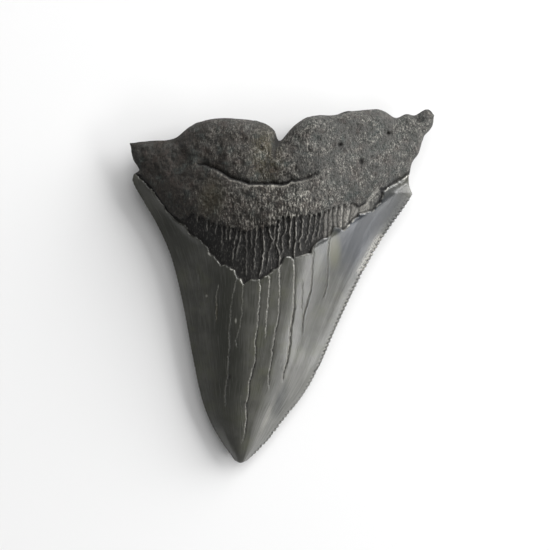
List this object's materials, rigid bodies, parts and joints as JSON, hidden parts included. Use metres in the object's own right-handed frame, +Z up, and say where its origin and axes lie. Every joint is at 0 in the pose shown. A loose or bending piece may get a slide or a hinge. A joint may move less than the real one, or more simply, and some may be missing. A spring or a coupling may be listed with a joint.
{
  "type": "megalodon tooth",
  "caption": "Fossil megalodon shark tooth lying flat: a broad serrated triangular crown with cracked grey enamel, a dark ribbed neck band and a notched, pitted root.",
  "frame": {"origin": "middle of the bounding box's underside, on the surface that the tooth lies on", "axes": "+Y from the crown's tip to the root, +X to the right as seen from above, +Z up through the domed lingual face"},
  "size_m": [0.076, 0.0886, 0.0204],
  "materials": {
    "fossil": "satin"
  },
  "bodies": {
    "root": {"tooth": "fossil"}
  },
  "joints": []
}
